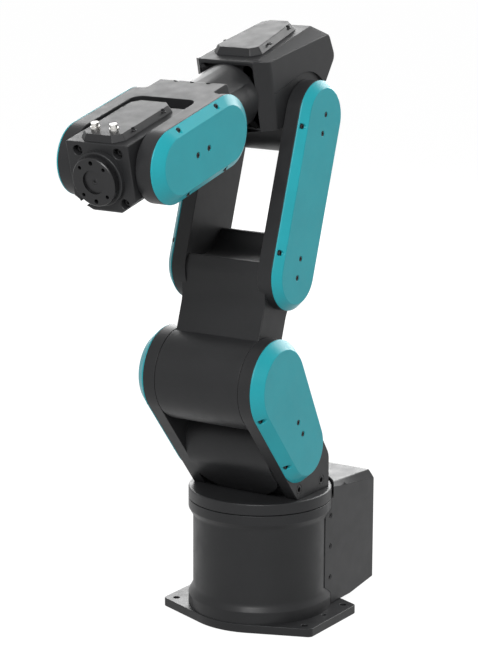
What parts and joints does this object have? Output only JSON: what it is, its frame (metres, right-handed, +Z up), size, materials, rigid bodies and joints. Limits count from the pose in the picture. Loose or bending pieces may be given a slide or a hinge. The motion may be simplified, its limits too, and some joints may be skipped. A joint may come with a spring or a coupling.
{
  "type": "articulated robot arm",
  "caption": "Six-axis articulated robot arm with belt-driven links behind bevelled side covers, forked wrist, tool flange and bolted foot plate.",
  "frame": {"origin": "centre of the foot plate's underside, on the axis of the base rotation", "axes": "+X forward, the way the forearm points; +Y the arm's left; +Z up along the base axis"},
  "size_m": [0.5737, 0.244, 0.8249],
  "materials": {
    "anthracite_castings": "cast aluminium with satin anthracite powder coat",
    "box_sheet": "folded aluminium sheet with satin anthracite coat",
    "teal_covers": "moulded plastic, satin teal",
    "black_screws": "blackened steel",
    "nickel_fittings": "nickel plated brass",
    "socket_plastic": "black moulded plastic",
    "flange_anodised": "black anodised",
    "motor_housings": "black painted aluminium housing",
    "drive_steel": "turned steel",
    "pulley_aluminium": "turned aluminium",
    "belt_rubber": "black toothed belt rubber"
  },
  "bodies": {
    "base": {"base_casting": "anthracite_castings", "j1_motor": "motor_housings", "j1_gearbox": "drive_steel", "j1_bearing": "drive_steel", "connection_box": "box_sheet", "connector_panel": "box_sheet", "power_socket": "socket_plastic", "signal_socket": "socket_plastic", "air_inlets": "nickel_fittings", "box_screws": "black_screws"},
    "shoulder": {"turntable": "anthracite_castings", "shoulder_casting": "anthracite_castings", "shoulder_plate_left": "anthracite_castings", "shoulder_plate_right": "anthracite_castings", "shoulder_bolts": "black_screws", "shoulder_gland": "socket_plastic", "shoulder_cover_left": "teal_covers", "shoulder_cover_right": "teal_covers", "shoulder_cover_screws": "black_screws", "j2_motor": "motor_housings", "j2_gearbox": "drive_steel", "shoulder_trunnion": "drive_steel", "j2_motor_pulley": "pulley_aluminium", "j2_driven_pulley": "pulley_aluminium", "j2_belt": "belt_rubber"},
    "upper_arm": {"upper_arm_casting": "anthracite_castings", "upper_arm_cover_left": "teal_covers", "upper_arm_cover_right": "teal_covers", "upper_arm_cover_screws": "black_screws", "j3_motor": "motor_housings", "j3_gearbox": "drive_steel", "elbow_trunnion": "drive_steel", "j3_motor_pulley": "pulley_aluminium", "j3_driven_pulley": "pulley_aluminium", "j3_belt": "belt_rubber"},
    "elbow": {"elbow_housing": "anthracite_castings", "elbow_top_cover": "anthracite_castings", "elbow_top_screws": "black_screws", "elbow_front_screws": "black_screws", "j4_gearmotor": "motor_housings"},
    "forearm": {"wrist_fork": "anthracite_castings", "fork_top_screws": "black_screws", "wrist_cover_left": "teal_covers", "wrist_cover_right": "teal_covers", "wrist_cover_screws": "black_screws", "j5_motor": "motor_housings", "j5_gearbox": "drive_steel", "wrist_trunnion": "drive_steel", "j5_motor_pulley": "pulley_aluminium", "j5_driven_pulley": "pulley_aluminium", "j5_belt": "belt_rubber"},
    "wrist": {"wrist_block": "anthracite_castings", "wrist_top_cover": "anthracite_castings", "wrist_top_screws": "black_screws", "air_fittings": "nickel_fittings", "wrist_front_screws": "black_screws", "j6_gearmotor": "motor_housings"},
    "flange": {"tool_flange": "flange_anodised", "flange_screw": "black_screws"}
  },
  "joints": [
    {"name": "base_rotation", "type": "hinge", "parent": "base", "child": "shoulder", "pos_m": [0, 0, 0.167], "axis": [0, 0, 1], "range_deg": [-177, 177]},
    {"name": "shoulder_swing", "type": "hinge", "parent": "shoulder", "child": "upper_arm", "pos_m": [0.0995, 0, 0.356], "axis": [0, 1, 0], "range_deg": [-75, 95]},
    {"name": "elbow_swing", "type": "hinge", "parent": "upper_arm", "child": "elbow", "pos_m": [-0.01479, 0, 0.70159], "axis": [0, -1, 0], "range_deg": [-34, 90]},
    {"name": "forearm_roll", "type": "hinge", "parent": "elbow", "child": "forearm", "pos_m": [0.08194, 0, 0.73488], "axis": [0.9711, 0, -0.2385], "range_deg": [-175, 175]},
    {"name": "wrist_bend", "type": "hinge", "parent": "forearm", "child": "wrist", "pos_m": [0.31792, 0, 0.67691], "axis": [0, 1, 0], "range_deg": [-115, 115]},
    {"name": "flange_roll", "type": "hinge", "parent": "wrist", "child": "flange", "pos_m": [0.38008, 0, 0.66165], "axis": [0.9711, 0, -0.2385], "range_deg": [-350, 350]}
  ]
}
